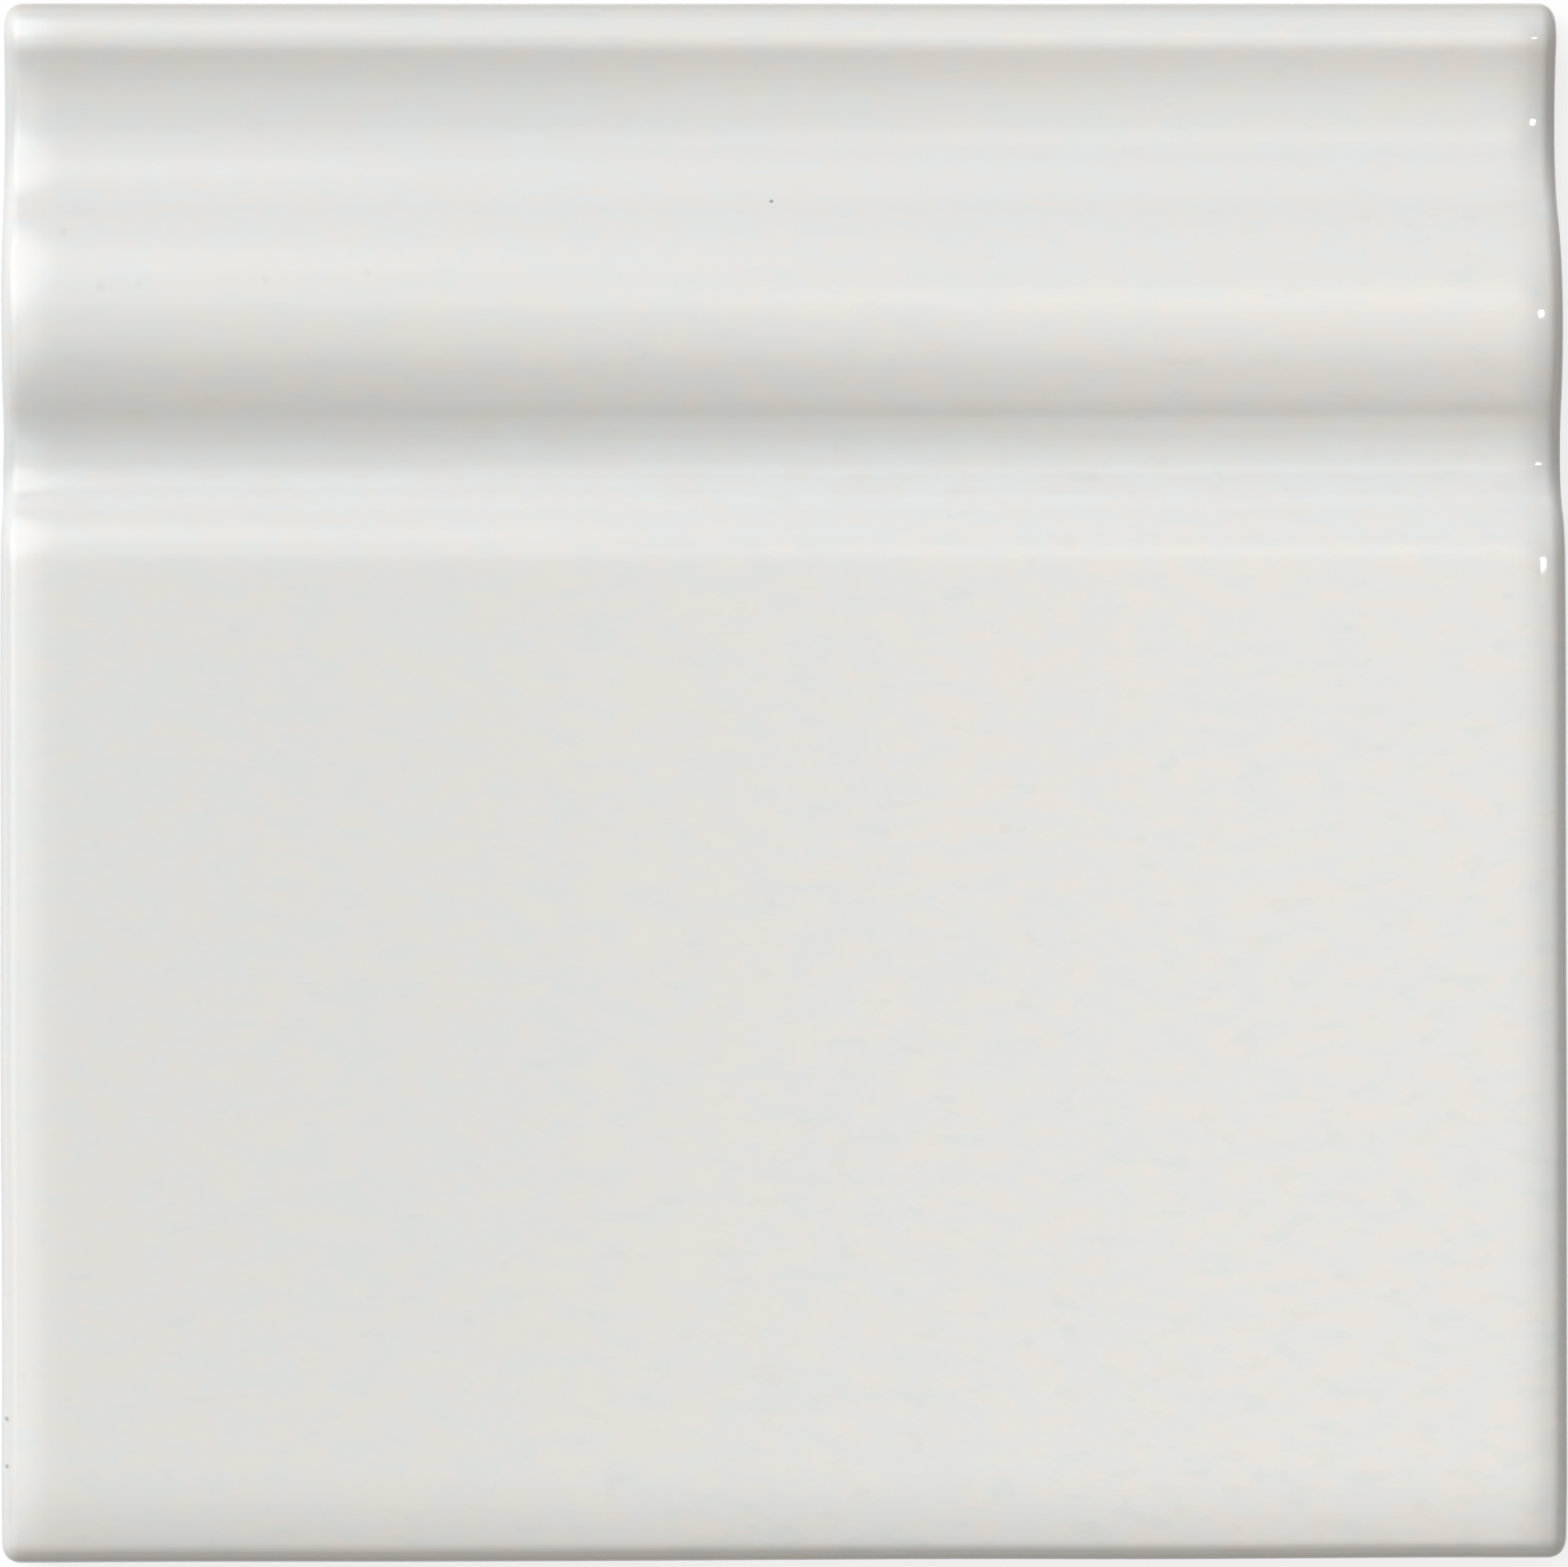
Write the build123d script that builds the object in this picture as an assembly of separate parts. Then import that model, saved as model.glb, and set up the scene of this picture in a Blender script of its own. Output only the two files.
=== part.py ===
from build123d import *
import math
import os

# Skirting tile: one pressed, fired and glazed ceramic tile for the foot of a wall.
# The tile lies on its back, face up. X runs along the wall, +Y points up the wall
# to the moulded top edge, and +Z points out of the face. The origin is the middle
# of the back. All sizes are in millimetres.

# Overall size
TILE_WIDTH = 152.0  # along the wall
TILE_HEIGHT = 152.0  # from the floor edge to the top edge
FIELD_THICKNESS = 15.0  # back to the plain face, the thickest part of the tile

# How far each level part of the moulding sits behind the plain face
LIP_SETBACK = 5.9
COVE_SETBACK = 7.8
ROLL_SETBACK = 0.4
GROOVE_SETBACK = 4.4

# Lengths of the moulding's curves down the face, from the top edge to the plain face.
# Each curve runs between a level part and the place where the bend changes sides.
LIP_RADIUS = 3.6  # quarter round from the top edge to the crest of the lip
LIP_FALL = 1.6
COVE_FALL = 7.0
COVE_RISE = 8.1
ROLL_RISE = 10.8
ROLL_FALL = 9.3
GROOVE_FALL = 5.1
GROOVE_RISE = 3.6
SHOULDER_RISE = 6.0

# Edges
EASING_RADIUS = 30.0  # gentle bend of the plain face as it nears the floor edge
EASING_TURN = 14.0  # how far that bend leans over before the floor edge rounds off, in degrees
FLOOR_EDGE_RADIUS = 2.6  # round from the gentle bend to the floor edge
END_RADIUS = 1.7  # rounding of the two ends, followed all round the section
BACK_ARRIS = 0.6  # chamfer round the back

# Keying pattern pressed into the back, for the adhesive to grip
KEY_POCKET = 11.5  # side of a square pocket at its mouth
KEY_RIB = 2.5  # rib left between two pockets
KEY_BORDER = 6.0  # least plain land between the pockets and the tile's edges
KEY_DEPTH = 0.8
KEY_DRAFT = 30.0  # slope of a pocket's walls from straight, in degrees

UP_THE_FACE = (1, 0)
DOWN_THE_FACE = (-1, 0)
OUT_OF_THE_WALL = (0, 1)


def sway(start, first_run, second_run, rise):
    """Draws two arcs that bend opposite ways between two level places, and returns the far end.

    The arcs meet on the straight line between the two places, so their shared slope follows
    from the run and the rise.
    """
    run = first_run + second_run
    turn = start + Vector(-first_run, rise * first_run / run)
    end = start + Vector(-run, rise)
    TangentArc(start, turn, tangent=DOWN_THE_FACE)
    TangentArc(end, turn, tangent=UP_THE_FACE)
    return end


def draw_section():
    """Draws the tile's section, seen along the wall: local X is up the wall, local Y is out of it."""
    top = TILE_HEIGHT / 2
    foot = -TILE_HEIGHT / 2
    lip_crest = Vector(top - LIP_RADIUS, FIELD_THICKNESS - LIP_SETBACK)
    lip_spring = Vector(top, lip_crest.Y - LIP_RADIUS)
    lean = math.radians(EASING_TURN)
    easing_fall = EASING_RADIUS * (1 - math.cos(lean))
    foot_spring = Vector(foot, FIELD_THICKNESS - easing_fall - FLOOR_EDGE_RADIUS * math.cos(lean))
    easing_end = foot_spring + Vector(1 - math.sin(lean), math.cos(lean)) * FLOOR_EDGE_RADIUS
    field_end = easing_end + Vector(EASING_RADIUS * math.sin(lean), easing_fall)

    Line((top, 0), lip_spring)
    TangentArc(lip_spring, lip_crest, tangent=OUT_OF_THE_WALL)
    cove = sway(lip_crest, LIP_FALL, COVE_FALL, LIP_SETBACK - COVE_SETBACK)
    roll = sway(cove, COVE_RISE, ROLL_RISE, COVE_SETBACK - ROLL_SETBACK)
    groove = sway(roll, ROLL_FALL, GROOVE_FALL, ROLL_SETBACK - GROOVE_SETBACK)
    field_start = sway(groove, GROOVE_RISE, SHOULDER_RISE, GROOVE_SETBACK)
    Line(field_start, field_end)
    TangentArc(field_end, easing_end, tangent=DOWN_THE_FACE)
    TangentArc(foot_spring, easing_end, tangent=OUT_OF_THE_WALL)
    Line(foot_spring, (foot, 0))
    Line((foot, 0), (top, 0))


def end_outline(tile, side):
    """Returns the edges of one end of the tile, apart from the one along its back."""
    end = tile.faces().sort_by(Axis.X)[side]
    back = end.edges().sort_by(Axis.Z)[0]
    return [edge for edge in end.edges() if edge != back]


def pockets_along(length):
    """Returns how many keying pockets fit along one side of the back."""
    return int((length - 2 * KEY_BORDER + KEY_RIB) // (KEY_POCKET + KEY_RIB))


def make_key_pocket():
    """Makes the shape of one keying pocket, its mouth on the back and its walls drawn in."""
    with BuildPart() as pocket:
        with BuildSketch():
            Rectangle(KEY_POCKET, KEY_POCKET)
        extrude(amount=KEY_DEPTH, taper=KEY_DRAFT)
    return pocket.part


def make_skirting_tile():
    """Makes the whole tile: the moulded section, its rounded ends and its keyed back."""
    with BuildPart() as tile:
        with BuildSketch(Plane.YZ):
            with BuildLine():
                draw_section()
            make_face()
        extrude(amount=TILE_WIDTH / 2, both=True)
        fillet(end_outline(tile, 0) + end_outline(tile, -1), END_RADIUS)
        chamfer(tile.faces().sort_by(Axis.Z)[0].edges(), BACK_ARRIS)
        pitch = KEY_POCKET + KEY_RIB
        with GridLocations(pitch, pitch, pockets_along(TILE_WIDTH), pockets_along(TILE_HEIGHT)):
            add(make_key_pocket(), mode=Mode.SUBTRACT)
    return tile.part


os.makedirs("parts", exist_ok=True)
export_step(make_skirting_tile(), "parts/skirting_tile.step")
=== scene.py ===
# %% [markdown]
# # A glazed skirting tile
# The real object is one ceramic tile for the foot of a wall. Clay dust is pressed into a die, which gives
# the face its moulding and the back its pockets. The pressed tile is fired, covered with white glaze and
# fired again. This lesson follows that order: the section is drawn and drawn out along the wall, the ends
# are rounded, the back is pressed, the glaze softens the edges, and then come the finish, the lamps and the
# camera.

# %% Load the fixed frame
import math

import bmesh
import bpy
from mathutils import Euler, Matrix, Vector, noise


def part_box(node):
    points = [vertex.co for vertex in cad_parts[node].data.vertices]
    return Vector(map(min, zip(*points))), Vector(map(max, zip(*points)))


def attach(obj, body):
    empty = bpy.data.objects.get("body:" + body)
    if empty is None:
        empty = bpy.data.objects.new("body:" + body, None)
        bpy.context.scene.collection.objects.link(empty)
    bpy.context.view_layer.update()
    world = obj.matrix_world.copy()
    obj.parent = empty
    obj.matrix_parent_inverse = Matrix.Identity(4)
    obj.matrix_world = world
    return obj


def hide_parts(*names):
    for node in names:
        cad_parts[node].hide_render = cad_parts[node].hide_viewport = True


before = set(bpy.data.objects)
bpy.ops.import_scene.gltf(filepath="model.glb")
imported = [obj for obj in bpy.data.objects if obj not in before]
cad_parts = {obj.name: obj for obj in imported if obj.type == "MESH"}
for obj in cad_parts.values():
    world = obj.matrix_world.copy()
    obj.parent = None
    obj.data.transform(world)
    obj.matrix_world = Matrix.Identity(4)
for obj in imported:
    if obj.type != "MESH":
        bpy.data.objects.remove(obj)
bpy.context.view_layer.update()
MM = 0.001
low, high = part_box("skirting_tile")
WIDTH = high.x - low.x
HEIGHT = high.y - low.y
FIELD = high.z
print("tile in millimetres:", [round(side / MM, 2) for side in (WIDTH, HEIGHT, FIELD)])

# %% [markdown]
# ## Tools for drawing the section
# The tile has the same section all along the wall, so the section is drawn first, as a chain of edges. It
# could be typed in as a list of points, but a moulding is made of arcs, and a spin turns one vertex into an
# arc that is exactly round. Two arcs that bend opposite ways make a sway, the S-shape that joins two level
# places.

# %% Arcs, straight runs and sways
SECTION_STEP = 0.45 * MM
LEAST_STEPS = 4
ALONG_WALL = Vector((1, 0, 0))
OUT = Vector((0, 0, 1))
tile = bmesh.new()


def last_vertex(made):
    """Returns the vertex that a spin ended on."""
    return next(item for item in made["geom_last"] if isinstance(item, bmesh.types.BMVert))


def draw_straight(start, offset, steps=1):
    """Draws a straight run from the vertex start, in equal steps, and returns its last vertex."""
    step = Vector(offset) / steps
    made = bmesh.ops.spin(
        tile, geom=[start], cent=start.co, axis=ALONG_WALL, dvec=step, angle=0.0, steps=steps
    )
    return last_vertex(made)


def draw_arc(start, centre, angle):
    """Turns the vertex start about a centre and returns the arc's last vertex."""
    length = abs(angle) * (start.co - centre).length
    steps = max(LEAST_STEPS, round(length / SECTION_STEP))
    made = bmesh.ops.spin(tile, geom=[start], cent=centre, axis=ALONG_WALL, angle=angle, steps=steps)
    return last_vertex(made)


def draw_sway(start, first_run, second_run, rise):
    """Draws two opposite arcs down the face between two level places and returns the far end."""
    run = first_run + second_run
    turn = 2 * math.atan(rise / run)
    end = start.co + Vector((0, -run, rise))
    middle = draw_arc(start, start.co + OUT * (first_run / math.sin(turn)), -turn)
    return draw_arc(middle, end - OUT * (second_run / math.sin(turn)), turn)


print("drawing tools ready, one point every", round(SECTION_STEP / MM, 2), "mm of arc")

# %% [markdown]
# ## The section
# From the top edge down, the moulding is a lip, a cove, a broad roll and a groove, and then the plain field
# runs to the floor edge. The field is the highest part, so each level part of the moulding is given by how
# far it sits behind the field. The floor edge bends in two steps, a gentle easing and then a tighter round.

# %% Draw the section at the left end
LIP_SETBACK = 5.9 * MM
COVE_SETBACK = 7.8 * MM
ROLL_SETBACK = 0.4 * MM
GROOVE_SETBACK = 4.4 * MM
LIP_RADIUS = 3.6 * MM
LIP_FALL = 1.6 * MM
COVE_FALL = 7.0 * MM
COVE_RISE = 8.1 * MM
ROLL_RISE = 10.8 * MM
ROLL_FALL = 9.3 * MM
GROOVE_FALL = 5.1 * MM
GROOVE_RISE = 3.6 * MM
SHOULDER_RISE = 6.0 * MM
EASING_RADIUS = 30.0 * MM
EASING_TURN = math.radians(14)
FLOOR_EDGE_RADIUS = 2.6 * MM
FIELD_STEPS = 54
SIDE_STEPS = 4

top_corner = tile.verts.new((low.x, high.y, 0))
lip_spring = draw_straight(top_corner, OUT * (FIELD - LIP_SETBACK - LIP_RADIUS), SIDE_STEPS)
lip = draw_arc(lip_spring, lip_spring.co - Vector((0, LIP_RADIUS, 0)), math.pi / 2)
cove = draw_sway(lip, LIP_FALL, COVE_FALL, LIP_SETBACK - COVE_SETBACK)
roll = draw_sway(cove, COVE_RISE, ROLL_RISE, COVE_SETBACK - ROLL_SETBACK)
groove = draw_sway(roll, ROLL_FALL, GROOVE_FALL, ROLL_SETBACK - GROOVE_SETBACK)
shoulder = draw_sway(groove, GROOVE_RISE, SHOULDER_RISE, GROOVE_SETBACK)

easing_run = EASING_RADIUS * math.sin(EASING_TURN)
edge_run = FLOOR_EDGE_RADIUS * (1 - math.sin(EASING_TURN))
field_end = low.y + edge_run + easing_run
easing = draw_straight(shoulder, (0, field_end - shoulder.co.y, 0), FIELD_STEPS)
easing_centre = easing.co - OUT * EASING_RADIUS
turning = draw_arc(easing, easing_centre, EASING_TURN)
edge_centre = turning.co.lerp(easing_centre, FLOOR_EDGE_RADIUS / EASING_RADIUS)
foot_spring = draw_arc(turning, edge_centre, math.pi / 2 - EASING_TURN)
foot_corner = draw_straight(foot_spring, OUT * -foot_spring.co.z, SIDE_STEPS)
tile.edges.new((foot_corner, top_corner))
cove_line, groove_line = cove.co.y, groove.co.y
print("section drawn with", len(tile.edges), "edges, foot at", round(foot_corner.co.y / MM, 3), "mm")

# %% [markdown]
# ## From section to tile
# The section is filled and extruded along the wall in one piece, which gives two flat ends with sharp
# edges. On the real tile the die and the glaze round those edges, so a bevel follows the whole outline of
# each end, apart from the edge along the back. The rounding comes before the face is divided, because a
# bevel needs room beside its edge.

# %% Extrude along the wall and round the edges
END_RADIUS = 1.7 * MM
END_SEGMENTS = 9
ROUND_PROFILE = 0.5
CLOSE = 0.01 * MM

end_face = bmesh.ops.contextual_create(tile, geom=tile.edges[:])["faces"]
grown = bmesh.ops.extrude_face_region(tile, geom=end_face)["geom"]
bmesh.ops.translate(
    tile, verts=[item for item in grown if isinstance(item, bmesh.types.BMVert)], vec=ALONG_WALL * WIDTH
)
bmesh.ops.recalc_face_normals(tile, faces=tile.faces[:])


def on_back(edge):
    """Tells whether an edge lies in the plane of the back."""
    return all(abs(vert.co.z) < CLOSE for vert in edge.verts)


def in_end(edge):
    """Tells whether an edge lies in one of the two ends, and so has no length along the wall."""
    return abs(edge.verts[0].co.x - edge.verts[1].co.x) < CLOSE


bmesh.ops.bevel(
    tile,
    geom=[edge for edge in tile.edges if in_end(edge) and not on_back(edge)],
    affect="EDGES",
    offset_type="OFFSET",
    offset=END_RADIUS,
    segments=END_SEGMENTS,
    profile=ROUND_PROFILE,
    material=-1,
)
print("rounded tile has", len(tile.faces), "faces")

# %% [markdown]
# ## A grid on the face
# Every long edge now runs from one rounded end to the other. Cutting all of them into equal pieces turns
# the strips into a grid, fine enough to carry the slow waves of the glaze as real shape. Only four-sided
# faces are divided, so the back stays whole. The flat ends get a narrow inset, which keeps the soft shading
# of the rounding out of the flat.

# %% Divide the long edges and inset the ends
FACE_CUTS = 107
END_INSET = 0.4 * MM
SQUARE_ON = 0.999
SIMPLE_FACE = 8

long_edges = [edge for edge in tile.edges if abs(edge.verts[0].co.x - edge.verts[1].co.x) > WIDTH / 2]
bmesh.ops.subdivide_edges(
    tile, edges=long_edges, cuts=FACE_CUTS, use_grid_fill=True, use_only_quads=True
)
flat_ends = [
    face for face in tile.faces if abs(face.normal.x) > SQUARE_ON and len(face.verts) > SIMPLE_FACE
]
bmesh.ops.inset_individual(tile, faces=flat_ends, thickness=END_INSET)
print("grid of", FACE_CUTS + 1, "columns;", len(tile.faces), "faces; flat ends:", len(flat_ends))

# %% [markdown]
# ## The keyed back
# Pressed tiles have a pattern of shallow pockets on the back, so that the adhesive can grip, and a small
# chamfer round it. The back is one flat face, so planes cut it along the sides of every pocket, and each
# square between four ribs is then inset upwards. An inset with depth makes the sloping walls in the same
# step. Booleans would also work, but they leave a rougher mesh.

# %% Chamfer the back, cut it into squares and press the pockets
BACK_ARRIS = 0.6 * MM
KEY_POCKET = 11.5 * MM
KEY_RIB = 2.5 * MM
KEY_BORDER = 6.0 * MM
KEY_DEPTH = 0.8 * MM
KEY_DRAFT = math.radians(30)
KEY_PITCH = KEY_POCKET + KEY_RIB
CUT_CLOSE = CLOSE / 10
UP_WALL = Vector((0, 1, 0))


def pocket_centres(length):
    """Returns the places of the pockets' centres along one side of the back."""
    count = int((length - 2 * KEY_BORDER + KEY_RIB) // KEY_PITCH)
    return [(number - (count - 1) / 2) * KEY_PITCH for number in range(count)]


def back_faces():
    """Returns the faces that lie in the plane of the back."""
    facing_down = [face for face in tile.faces if face.normal.z < -SQUARE_ON]
    return [face for face in facing_down if abs(face.calc_center_median().z) < CLOSE]


def cut_back(place, direction):
    """Cuts the faces of the back along one plane."""
    faces = back_faces()
    edges = dict.fromkeys(edge for face in faces for edge in face.edges)
    verts = dict.fromkeys(vert for face in faces for vert in face.verts)
    bmesh.ops.bisect_plane(
        tile, geom=[*verts, *edges, *faces], dist=CUT_CLOSE, plane_co=direction * place, plane_no=direction
    )


bmesh.ops.bevel(
    tile,
    geom=[edge for edge in tile.edges if on_back(edge)],
    affect="EDGES",
    offset_type="OFFSET",
    offset=BACK_ARRIS,
    segments=1,
    profile=ROUND_PROFILE,
    material=-1,
)
columns = pocket_centres(WIDTH)
rows = pocket_centres(HEIGHT)
for centre in columns:
    cut_back(centre - KEY_POCKET / 2, ALONG_WALL)
    cut_back(centre + KEY_POCKET / 2, ALONG_WALL)
for centre in rows:
    cut_back(centre - KEY_POCKET / 2, UP_WALL)
    cut_back(centre + KEY_POCKET / 2, UP_WALL)


def near_one_of(value, places):
    """Tells whether a value is within a millimetre of one of the places."""
    return any(abs(value - place) < MM for place in places)


pockets = []
for face in back_faces():
    middle = face.calc_center_median()
    if near_one_of(middle.x, columns) and near_one_of(middle.y, rows):
        pockets.append(face)
wall_run = KEY_DEPTH * math.tan(KEY_DRAFT)
bmesh.ops.inset_individual(
    tile, faces=pockets, thickness=wall_run, depth=-KEY_DEPTH, use_even_offset=True
)
print("pressed", len(pockets), "pockets in", len(columns), "columns and", len(rows), "rows")

# %% [markdown]
# ## What the glaze does to the shape
# Melted glaze pulls back a little from every edge, so the face sinks gently over the last few millimetres
# before each end, and nothing on the tile stays perfectly straight. Both are too slow to show as bump,
# because they bend the reflections, so the vertices themselves move. The moves fade out towards the back,
# which stays flat.

# %% Soften the ends and let the face wander
CUSHION_REACH = 5.1 * MM
CUSHION_CURVE = 0.024 / MM
WANDER = 0.16 * MM
WANDER_SIZE = 34 * MM
WANDER_SHIFTS = (Vector((3.1, 0.0, 0.0)), Vector((0.0, 7.3, 0.0)))
RIPPLE = 0.018 * MM
RIPPLE_SIZE = 11 * MM
STILL_BELOW = 1.0 * MM
FREE_ABOVE = 6.0 * MM


def freedom(height):
    """Returns how far a vertex may move with the glaze: 0 at the back, 1 on the face."""
    share = min(1.0, max(0.0, (height - STILL_BELOW) / (FREE_ABOVE - STILL_BELOW)))
    return share * share * (3 - 2 * share)


for vert in tile.verts:
    free = freedom(vert.co.z)
    if free == 0.0:
        continue
    from_end = max(0.0, CUSHION_REACH - (high.x - abs(vert.co.x)))
    sideways = [noise.noise(vert.co / WANDER_SIZE + shift) * WANDER for shift in WANDER_SHIFTS]
    ripple = noise.noise(vert.co / RIPPLE_SIZE) * RIPPLE
    vert.co += Vector((*sideways, ripple - CUSHION_CURVE * from_end ** 2)) * free
bmesh.ops.recalc_face_normals(tile, faces=tile.faces[:])
open_edges = [edge for edge in tile.edges if not edge.is_manifold]
volume = tile.calc_volume() / (10 * MM) ** 3
print("open edges:", len(open_edges), "volume in cubic centimetres:", round(volume, 1))

# %% [markdown]
# ## The tile as an object
# The finished mesh becomes one object that rides on the frame and stands for the plain solid. Faces are
# shaded smooth, and only the arris of the back and the pockets keep sharp edges.

# %% Make the object
SHARP_ANGLE = math.radians(32)
GLAZED, BARE = 0, 1
BARE_BELOW = 0.9 * MM
BARE_LEAN = 0.2

for face in tile.faces:
    face.smooth = True
    bare = face.calc_center_median().z < BARE_BELOW and face.normal.z < BARE_LEAN
    face.material_index = BARE if bare else GLAZED
tile_mesh = bpy.data.meshes.new("glazed_tile")
tile.to_mesh(tile_mesh)
tile.free()
tile_mesh.set_sharp_from_angle(angle=SHARP_ANGLE)
tile_piece = bpy.data.objects.new("glazed_tile", tile_mesh)
bpy.context.scene.collection.objects.link(tile_piece)
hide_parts("skirting_tile")
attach(tile_piece, "root")
print("glazed_tile has", len(tile_mesh.polygons), "faces")

# %% [markdown]
# ## Helpers for materials
# A finish is a small network of nodes. Short helpers keep the networks readable: they add a node with its
# inputs, do arithmetic, make a mask from a value, mix two colours or two values by a mask, and make noise.
# A mix node lists the sockets of every kind of data, so the two mixing helpers pick theirs by number.

# %% Node helpers
def add_node(tree, kind, properties=None, **inputs):
    """Adds a node, sets its properties and its inputs, and links any input that is given as a socket."""
    node = tree.nodes.new(kind)
    for name, value in (properties or {}).items():
        setattr(node, name, value)
    for name, value in inputs.items():
        socket = node.inputs[name.replace("_", " ")]
        if isinstance(value, bpy.types.NodeSocket):
            tree.links.new(value, socket)
        else:
            socket.default_value = value
    return node


def calculate(tree, operation, *values):
    """Adds a math node for one operation and returns its result."""
    node = tree.nodes.new("ShaderNodeMath")
    node.operation = operation
    for socket, value in zip(node.inputs, values):
        if isinstance(value, bpy.types.NodeSocket):
            tree.links.new(value, socket)
        else:
            socket.default_value = value
    return node.outputs["Value"]


def ramp_between(tree, value, start, end):
    """Returns a soft mask that goes from 0 at start to 1 at end."""
    node = add_node(tree, "ShaderNodeMapRange", {"interpolation_type": "SMOOTHSTEP"}, Value=value)
    node.inputs["From Min"].default_value = start
    node.inputs["From Max"].default_value = end
    return node.outputs["Result"]


def mix_colours(tree, mask, first, second, blend="MIX"):
    """Mixes two colours by a mask and returns the result."""
    node = tree.nodes.new("ShaderNodeMix")
    node.data_type = "RGBA"
    node.blend_type = blend
    factor, a, b = (node.inputs[index] for index in (0, 6, 7))
    for socket, value in ((factor, mask), (a, first), (b, second)):
        if isinstance(value, bpy.types.NodeSocket):
            tree.links.new(value, socket)
        else:
            socket.default_value = value
    return node.outputs[2]


def mix_values(tree, mask, first, second):
    """Mixes two plain values by a mask and returns the result."""
    node = add_node(tree, "ShaderNodeMix", {"data_type": "FLOAT"})
    for index, socket in ((0, mask), (2, first), (3, second)):
        tree.links.new(socket, node.inputs[index])
    return node.outputs[0]


def soft_noise(tree, place, size, detail=2.0, stretch=(1.0, 1.0, 1.0)):
    """Returns a noise with features about size metres across, longer along an axis that is stretched."""
    scale = [1 / (size * share) for share in stretch]
    mapped = add_node(tree, "ShaderNodeMapping", Vector=place, Scale=scale)
    made = add_node(tree, "ShaderNodeTexNoise", Vector=mapped.outputs["Vector"], Scale=1.0, Detail=detail)
    return made.outputs["Fac"]


def new_material(name):
    """Makes a material with an empty network, and returns it with its tree and its surface socket."""
    material = bpy.data.materials.new(name)
    material.use_nodes = True
    material.node_tree.nodes.clear()
    output = material.node_tree.nodes.new("ShaderNodeOutputMaterial")
    return material, material.node_tree, output.inputs["Surface"]


print("node helpers ready")

# %% [markdown]
# ## Bare fired clay
# Under the glaze the tile is biscuit: pale fired clay with a matt, slightly dusty surface. It shows on the
# back, and in a narrow band round the sides where the glaze was wiped off so that the tile would not stick
# to the kiln shelf. Both finishes need it, so it is a node group with a colour, a roughness and a height.

# %% The biscuit group
BISCUIT_PALE = (0.70, 0.645, 0.56, 1)
BISCUIT_DARK = (0.60, 0.53, 0.44, 1)
BISCUIT_FLECK = (0.36, 0.27, 0.19, 1)
BISCUIT_CLOUD_SIZE = 24 * MM
BISCUIT_CLOUD_RANGE = (0.35, 0.65)
BISCUIT_FLECK_SIZE = 1.3 * MM
BISCUIT_FLECK_RANGE = (0.74, 0.80)
BISCUIT_ROUGHNESS = 0.78
BISCUIT_ROUGHNESS_SPREAD = 0.15
GRAIN_SIZE = 0.5 * MM
GRAIN_HEIGHT = 0.04 * MM

biscuit = bpy.data.node_groups.new("fired_biscuit", "ShaderNodeTree")
biscuit.interface.new_socket("Place", in_out="INPUT", socket_type="NodeSocketVector")
biscuit.interface.new_socket("Colour", in_out="OUTPUT", socket_type="NodeSocketColor")
biscuit.interface.new_socket("Roughness", in_out="OUTPUT", socket_type="NodeSocketFloat")
biscuit.interface.new_socket("Height", in_out="OUTPUT", socket_type="NodeSocketFloat")
place = biscuit.nodes.new("NodeGroupInput").outputs["Place"]
clouds = soft_noise(biscuit, place, BISCUIT_CLOUD_SIZE, detail=4.0)
grain = soft_noise(biscuit, place, GRAIN_SIZE, detail=3.0)
flecks = soft_noise(biscuit, place, BISCUIT_FLECK_SIZE, detail=1.0)
clay = mix_colours(biscuit, ramp_between(biscuit, clouds, *BISCUIT_CLOUD_RANGE), BISCUIT_PALE, BISCUIT_DARK)
clay = mix_colours(biscuit, ramp_between(biscuit, flecks, *BISCUIT_FLECK_RANGE), clay, BISCUIT_FLECK)
rough = calculate(biscuit, "MULTIPLY_ADD", grain, BISCUIT_ROUGHNESS_SPREAD, BISCUIT_ROUGHNESS)
result = biscuit.nodes.new("NodeGroupOutput")
biscuit.links.new(clay, result.inputs["Colour"])
biscuit.links.new(rough, result.inputs["Roughness"])
biscuit.links.new(grain, result.inputs["Height"])


def place_biscuit(tree, position):
    """Places the biscuit group in a material and returns its node."""
    node = tree.nodes.new("ShaderNodeGroup")
    node.node_tree = biscuit
    tree.links.new(position, node.inputs["Place"])
    return node


bare_material, tree, surface = new_material("bare_biscuit")
position = tree.nodes.new("ShaderNodeTexCoord").outputs["Object"]
clay = place_biscuit(tree, position)
bump = add_node(tree, "ShaderNodeBump", Strength=1.0, Distance=GRAIN_HEIGHT, Height=clay.outputs["Height"])
shader = add_node(
    tree,
    "ShaderNodeBsdfPrincipled",
    Base_Color=clay.outputs["Colour"],
    Roughness=clay.outputs["Roughness"],
    Normal=bump.outputs["Normal"],
)
tree.links.new(shader.outputs["BSDF"], surface)
print("biscuit group has", len(biscuit.nodes), "nodes")
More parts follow.
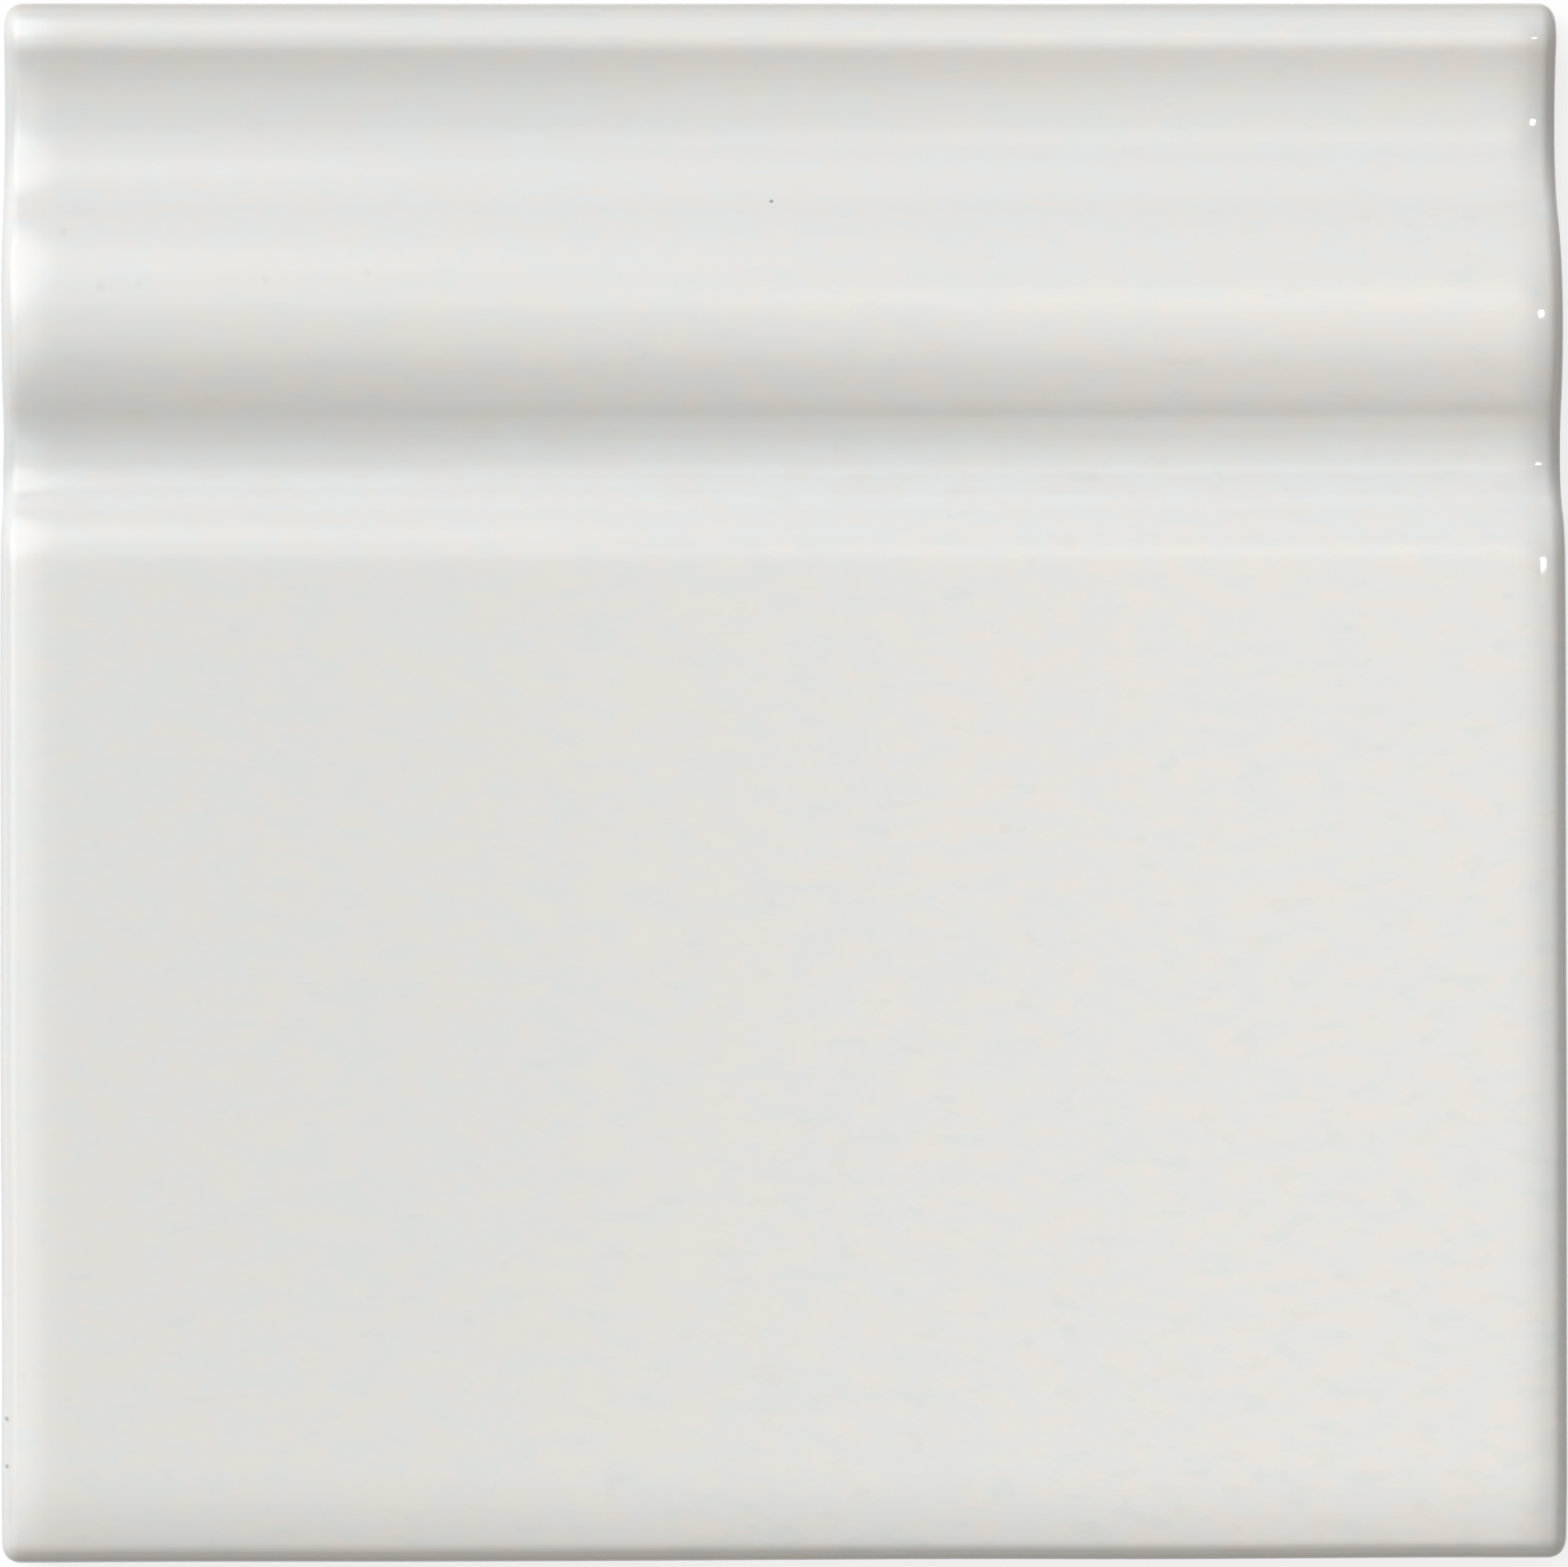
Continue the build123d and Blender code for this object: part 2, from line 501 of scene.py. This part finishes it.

# %% [markdown]
# ## White glaze
# The glaze is a thick white glass, and its colour is never quite even. Clouds and fine streaks shift it
# between warm and cool, and grey-green flecks towards the lower right are painted reflection, where the
# orange peel breaks up the reflected light. It is cooler, with a ragged edge, where it runs together in the
# hollows, and there painted shade also darkens the cove and the groove. It is darker and warmer over the
# top and floor edges, where the glaze is thin and painted shade darkens the rounding. Masks for all of
# these come from the place on the tile.

# %% The glaze material
GLAZE_WARM = (0.776, 0.752, 0.718, 1)
GLAZE_COOL = (0.738, 0.757, 0.748, 1)
CLOUD_SIZE = 26 * MM
CLOUD_SHARE = 0.25
STREAK_SIZE = 2.2 * MM
STREAK_STRETCH = (1.8, 0.9, 1.0)
MOTTLE_RANGE = (0.40, 0.60)
# Hollows where the glaze pools and turns cooler. The same tint also paints the shade in the cove and the
# groove.
POOLS_AND_SHADE = [
    # middle, reach, strength of the tint
    (cove_line, 7.0 * MM, 0.7),
    (groove_line + 0.8 * MM, 5.5 * MM, 1.0),
]
POOL_AND_SHADE_TINT = (0.880, 0.912, 0.925, 1)
POOL_AND_SHADE_RAGGED = 3.0 * MM
# Painted reflection: grey-green flecks where the orange peel breaks up the reflected light towards the
# lower right.
FLECK_REFLECTION_TINT = (0.962, 0.980, 0.974, 1)
FLECK_SIZE = 1.9 * MM
FLECK_STRETCH = (1.9, 1.0, 1.0)
FLECK_LEAN = 0.8
FLECK_RANGE = (0.60, 0.74)
# Top and floor edges: warmer where the glaze is thin, and darker as painted shade on their rounding.
THIN_GLAZE_AND_SHADE_TINT = (0.850, 0.815, 0.770, 1)
THIN_GLAZE_AND_SHADE_REACH = 1.9 * MM

glaze_material, tree, surface = new_material("white_glaze")
position = tree.nodes.new("ShaderNodeTexCoord").outputs["Object"]
axes = add_node(tree, "ShaderNodeSeparateXYZ", Vector=position)
across, up, out = (axes.outputs[name] for name in ("X", "Y", "Z"))

clouds = soft_noise(tree, position, CLOUD_SIZE, detail=3.0)
streaks = soft_noise(tree, position, STREAK_SIZE, detail=4.0, stretch=STREAK_STRETCH)
mottle = calculate(tree, "MULTIPLY", clouds, CLOUD_SHARE)
mottle = calculate(tree, "MULTIPLY_ADD", streaks, 1 - CLOUD_SHARE, mottle)
colour = mix_colours(tree, ramp_between(tree, mottle, *MOTTLE_RANGE), GLAZE_WARM, GLAZE_COOL)

# Painted reflection flecks, leaning towards the lower right of the face.
flecks = soft_noise(tree, position, FLECK_SIZE, detail=3.0, stretch=FLECK_STRETCH)
flecks = calculate(tree, "MULTIPLY_ADD", across, FLECK_LEAN, flecks)
flecks = calculate(tree, "MULTIPLY_ADD", up, -FLECK_LEAN, flecks)
colour = mix_colours(tree, ramp_between(tree, flecks, *FLECK_RANGE), colour, FLECK_REFLECTION_TINT, blend="MULTIPLY")

# Pooled glaze and painted shade: the hollows turn cooler, and darker as painted shade, most on the groove's
# upper slope.
pooled_and_shaded = 0.0
for place, reach, strength in POOLS_AND_SHADE:
    distance = calculate(tree, "ABSOLUTE", calculate(tree, "SUBTRACT", up, place))
    torn = calculate(tree, "MULTIPLY_ADD", streaks, POOL_AND_SHADE_RAGGED, distance)
    pool_and_shade = ramp_between(tree, torn, reach + POOL_AND_SHADE_RAGGED / 2, POOL_AND_SHADE_RAGGED / 2)
    pooled_and_shaded = calculate(tree, "MAXIMUM", pooled_and_shaded, calculate(tree, "MULTIPLY", pool_and_shade, strength))
colour = mix_colours(tree, pooled_and_shaded, colour, POOL_AND_SHADE_TINT, blend="MULTIPLY")

# Painted shade on the rounding of the top and floor edges, with the warmth of thin glaze there.
edge_gap = calculate(tree, "SUBTRACT", high.y, calculate(tree, "ABSOLUTE", up))
thin_and_shade = ramp_between(tree, edge_gap, THIN_GLAZE_AND_SHADE_REACH, 0.0)
colour = mix_colours(tree, thin_and_shade, colour, THIN_GLAZE_AND_SHADE_TINT, blend="MULTIPLY")
print("glaze colours mixed, with pools in", len(POOLS_AND_SHADE), "hollows")

# %% [markdown]
# Specks are grains of iron that burnt through the glaze. Each one is a small soft spot at a given place.
# The largest sits on the slope below the cove, and the others are faint marks near the left end.

# %% Specks in the glaze
SPECKS = [
    # across, up, radius in millimetres, strength
    (-1.1, 56.3, 0.26, 0.75),
    (-70.0, 53.2, 0.70, 0.07),
    (-66.2, 47.7, 0.75, 0.08),
    (-62.6, 47.9, 0.60, 0.05),
    (-50.3, 48.4, 0.60, 0.05),
    (-40.4, 49.0, 0.65, 0.05),
    (-75.4, -61.9, 0.30, 0.55),
    (-75.4, -66.5, 0.30, 0.55),
]
SPECK_COLOUR = (0.16, 0.16, 0.13, 1)
SPECK_RAGGED_SIZE = 0.35 * MM
SPECK_EDGE = (1.5, 0.7)

flat_place = add_node(tree, "ShaderNodeCombineXYZ", X=across, Y=up).outputs["Vector"]
ragged = soft_noise(tree, position, SPECK_RAGGED_SIZE, detail=1.0)
speck_mask = 0.0
for x, y, radius, strength in SPECKS:
    gap = add_node(tree, "ShaderNodeVectorMath", {"operation": "DISTANCE"})
    tree.links.new(flat_place, gap.inputs[0])
    gap.inputs[1].default_value = (x * MM, y * MM, 0)
    torn = calculate(tree, "MULTIPLY_ADD", ragged, radius * MM, gap.outputs["Value"])
    spot = ramp_between(tree, torn, *(share * radius * MM for share in SPECK_EDGE))
    speck_mask = calculate(tree, "MAXIMUM", speck_mask, calculate(tree, "MULTIPLY", spot, strength))
colour = mix_colours(tree, speck_mask, colour, SPECK_COLOUR)
print("specks:", len(SPECKS))

# %% [markdown]
# Down the sides the glaze ends in a wavering line, and below it the bare clay shows. The same mask that
# hides the clay's colour also hides its roughness and its grain, so the glaze looks like a layer with an
# edge. The glaze's own surface has the fine orange peel of every fired glaze.

# %% Where the glaze ends, and the shader
GLAZE_LINE = 3.2 * MM
GLAZE_LINE_WANDER = 2.4 * MM
GLAZE_LINE_WAVE = 9 * MM
GLAZE_LINE_SOFT = 0.5 * MM
GLAZE_ROUGHNESS = 0.06
GLAZE_ROUGHNESS_SPREAD = 0.03
GLAZE_IOR = 1.52
PEEL_SIZE = 2.3 * MM
PEEL_HEIGHT = 0.014 * MM

wander = soft_noise(tree, position, GLAZE_LINE_WAVE, detail=3.0)
line = calculate(tree, "MULTIPLY_ADD", wander, -GLAZE_LINE_WANDER, out)
line_foot = GLAZE_LINE - GLAZE_LINE_WANDER
covered = ramp_between(tree, line, line_foot, line_foot + GLAZE_LINE_SOFT)
clay = place_biscuit(tree, position)
colour = mix_colours(tree, covered, clay.outputs["Colour"], colour)
least_rough = GLAZE_ROUGHNESS - GLAZE_ROUGHNESS_SPREAD / 2
gloss = calculate(tree, "MULTIPLY_ADD", clouds, GLAZE_ROUGHNESS_SPREAD, least_rough)
rough = mix_values(tree, covered, clay.outputs["Roughness"], gloss)
peel = soft_noise(tree, position, PEEL_SIZE, detail=1.0)
grain = calculate(tree, "MULTIPLY", clay.outputs["Height"], GRAIN_HEIGHT / PEEL_HEIGHT)
relief = mix_values(tree, covered, grain, peel)
bump = add_node(tree, "ShaderNodeBump", Strength=1.0, Distance=PEEL_HEIGHT, Height=relief)
shader = add_node(
    tree,
    "ShaderNodeBsdfPrincipled",
    Base_Color=colour,
    Roughness=rough,
    IOR=GLAZE_IOR,
    Normal=bump.outputs["Normal"],
)
tree.links.new(shader.outputs["BSDF"], surface)
tile_mesh.materials.append(glaze_material)
tile_mesh.materials.append(bare_material)
print("glaze material has", len(tree.nodes), "nodes")

# %% [markdown]
# ## The floor
# The tile lies on a plain pale floor. The floor looks white because it glows a little for the camera and in
# reflections, while the light that it throws back stays modest, so the edges of the tile keep their shade.
# The shadow of the tile still falls on it. It lies a hair below the back, so that the two faces don't
# coincide.

# %% Lay the floor
FLOOR_REACH = 12.0
FLOOR_DROP = 0.05 * MM
FLOOR_COLOUR = (0.25, 0.25, 0.25, 1)
FLOOR_GLOW = 0.76

floor_shape = bmesh.new()
bmesh.ops.create_grid(
    floor_shape, x_segments=1, y_segments=1, size=FLOOR_REACH, matrix=Matrix.Translation(OUT * -FLOOR_DROP)
)
floor_mesh = bpy.data.meshes.new("floor")
floor_shape.to_mesh(floor_mesh)
floor_shape.free()
floor = bpy.data.objects.new("floor", floor_mesh)
bpy.context.scene.collection.objects.link(floor)

floor_material, tree, surface = new_material("pale_floor")
path = tree.nodes.new("ShaderNodeLightPath")
seen = calculate(tree, "ADD", path.outputs["Is Camera Ray"], path.outputs["Is Glossy Ray"])
seen = calculate(tree, "ADD", seen, path.outputs["Is Transmission Ray"])
glow = add_node(tree, "ShaderNodeEmission", Strength=calculate(tree, "MULTIPLY", seen, FLOOR_GLOW))
matt = add_node(tree, "ShaderNodeBsdfDiffuse", Color=FLOOR_COLOUR)
both = tree.nodes.new("ShaderNodeAddShader")
tree.links.new(glow.outputs["Emission"], both.inputs[0])
tree.links.new(matt.outputs["BSDF"], both.inputs[1])
tree.links.new(both.outputs["Shader"], surface)
floor_mesh.materials.append(floor_material)
print("floor laid")

# %% [markdown]
# ## Light
# A gloss surface is drawn by what it reflects, so the room matters as much as the lamp. Here the room is
# the world: a dim surround, a pale patch of ceiling, a round soft key lamp high to the top left, and soft
# strips of light towards the top, the left and the right. A strip is given by four edges, each with the
# place where it begins and the place where it is full. All edges are soft, so the moulding carries smooth
# shades. The lights add up, because a room's lights do.

# %% Light the room
ROOM = (0.016, 0.011, 0.008, 1)
CEILING = (0.748, 0.782, 0.760, 1)
CEILING_EDGE = (math.cos(math.radians(30)), math.cos(math.radians(6)))
KEY = (2.79, 2.87, 2.99, 1)
KEY_TURN = math.radians(138)
KEY_TILT = math.radians(54)
KEY_EDGE = (math.cos(math.radians(40)), math.cos(math.radians(18)))
TOP_STRIP = (0.771, 0.757, 0.742, 1)
TOP_STRIP_EDGES = ((-0.30, -0.12), (0.30, 0.12), (0.03, 0.34), (1.10, 0.50))
LEFT_STRIP = (1.200, 1.215, 1.195, 1)
LEFT_STRIP_EDGES = ((-0.95, -0.60), (-0.05, -0.36), (-0.60, -0.30), (0.60, 0.30))
RIGHT_STRIP = (1.485, 1.256, 1.062, 1)
RIGHT_STRIP_EDGES = ((-0.040, 0.082), (0.42, 0.10), (-0.90, -0.72), (0.58, 0.15))

world = bpy.data.worlds.new("studio")
bpy.context.scene.world = world
world.use_nodes = True
tree = world.node_tree
tree.nodes.clear()
direction = tree.nodes.new("ShaderNodeTexCoord").outputs["Generated"]
axes = add_node(tree, "ShaderNodeSeparateXYZ", Vector=direction)
across, up, over = (axes.outputs[name] for name in ("X", "Y", "Z"))


def facing(target):
    """Returns how closely a direction in the room points to a target: 1 is straight at it."""
    node = add_node(tree, "ShaderNodeVectorMath", {"operation": "DOT_PRODUCT"})
    tree.links.new(direction, node.inputs[0])
    node.inputs[1].default_value = target
    return node.outputs["Value"]


def soft_strip(left_edge, right_edge, lower_edge, upper_edge):
    """Returns the mask of a patch of light overhead whose four edges are soft."""
    sides = [ramp_between(tree, across, *edge) for edge in (left_edge, right_edge)]
    ends = [ramp_between(tree, up, *edge) for edge in (lower_edge, upper_edge)]
    width = calculate(tree, "MULTIPLY", *sides)
    length = calculate(tree, "MULTIPLY", *ends)
    return calculate(tree, "MULTIPLY", width, length)


key_direction = Matrix.Rotation(KEY_TURN, 3, "Z") @ Matrix.Rotation(KEY_TILT, 3, "Y") @ OUT
lights = [
    (ramp_between(tree, over, *CEILING_EDGE), CEILING),
    (ramp_between(tree, facing(key_direction), *KEY_EDGE), KEY),
    (soft_strip(*TOP_STRIP_EDGES), TOP_STRIP),
    (soft_strip(*LEFT_STRIP_EDGES), LEFT_STRIP),
    (soft_strip(*RIGHT_STRIP_EDGES), RIGHT_STRIP),
]
light = ROOM
for mask, brightness in lights:
    light = mix_colours(tree, mask, light, brightness, blend="ADD")
background = add_node(tree, "ShaderNodeBackground", Color=light, Strength=1.0)
output = tree.nodes.new("ShaderNodeOutputWorld")
tree.links.new(background.outputs["Background"], output.inputs["Surface"])
print("key lamp points from", [round(value, 2) for value in key_direction])

# %% [markdown]
# One small bright lamp hangs further to the right. It adds little light, but the rounding of the right-hand
# end bends past it once on every crest and hollow, which gives the row of bright points down that end.

# %% Hang the small lamp
LAMP_PLACE = Vector((0.44, 0.108, 0.90))
LAMP_SIZE = (0.065, 0.065)
LAMP_LEVEL = 25.0

lamp_data = bpy.data.lights.new("small_lamp", "AREA")
lamp_data.shape = "RECTANGLE"
lamp_data.size, lamp_data.size_y = LAMP_SIZE
lamp_data.energy = LAMP_LEVEL * math.pi * LAMP_SIZE[0] * LAMP_SIZE[1]
lamp = bpy.data.objects.new("small_lamp", lamp_data)
lamp.location = LAMP_PLACE
lamp.rotation_mode = "QUATERNION"
lamp.rotation_quaternion = LAMP_PLACE.to_track_quat("Z", "Y")
bpy.context.scene.collection.objects.link(lamp)
print("small lamp in watts:", round(lamp_data.energy, 3))

# %% [markdown]
# ## Camera
# The picture is taken almost straight from above, from about a metre away with a long lens, so the tile
# fills the frame. The camera leans back by one degree, which makes the foot of the tile a hair wider than
# the top, stands a little to the left and is turned by a hair. The lens follows from how wide the tile is
# in the picture.

# %% Set the camera
VIEW_DISTANCE = 0.950
VIEW_TURN = Euler((math.radians(1.0), math.radians(-1.2), math.radians(-0.12)))
VIEW_CENTRE = Vector((-0.0001, -0.0006, FIELD))
PICTURE_WIDTH = 1773
TILE_IN_PICTURE = 1770.5
SENSOR = 36.0

camera_data = bpy.data.cameras.new("camera")
camera_data.sensor_width = SENSOR
rim_distance = VIEW_DISTANCE + END_RADIUS
camera_data.lens = SENSOR * TILE_IN_PICTURE / PICTURE_WIDTH * rim_distance / WIDTH
camera = bpy.data.objects.new("camera", camera_data)
camera.location = VIEW_CENTRE + VIEW_TURN.to_matrix() @ OUT * VIEW_DISTANCE
camera.rotation_euler = VIEW_TURN
bpy.context.scene.collection.objects.link(camera)
bpy.context.scene.camera = camera
bpy.context.scene.view_settings.view_transform = "Standard"
print("lens in millimetres:", round(camera_data.lens, 1))
